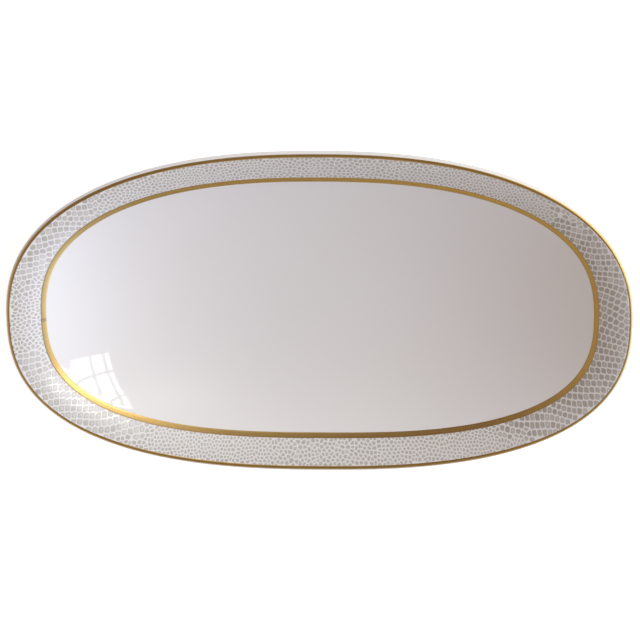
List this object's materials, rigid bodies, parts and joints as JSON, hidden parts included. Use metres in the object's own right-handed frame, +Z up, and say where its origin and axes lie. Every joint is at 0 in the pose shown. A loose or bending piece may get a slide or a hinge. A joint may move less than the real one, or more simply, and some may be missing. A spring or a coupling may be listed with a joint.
{
  "type": "oval china serving dish",
  "caption": "Small deep oval porcelain serving dish with up-swept ends, a sloping rim with a printed scale border, and gold lines at the lip and round the well.",
  "frame": {"origin": "middle of the foot ring, on the plane that the dish stands on", "axes": "+X along the dish, +Y across it, +Z up"},
  "size_m": [0.23, 0.125, 0.033],
  "materials": {
    "biscuit": "matte",
    "glaze": "gloss",
    "glaze_below": "gloss",
    "scale_print": "satin",
    "band_gold": "satin",
    "edge_gold": "satin"
  },
  "bodies": {
    "root": {"china_body": "biscuit", "glaze_coat": "glaze", "foot_recess_glaze": "glaze_below", "scale_print": "scale_print", "inner_gold_band": "band_gold", "edge_gold_line": "edge_gold"}
  },
  "joints": []
}
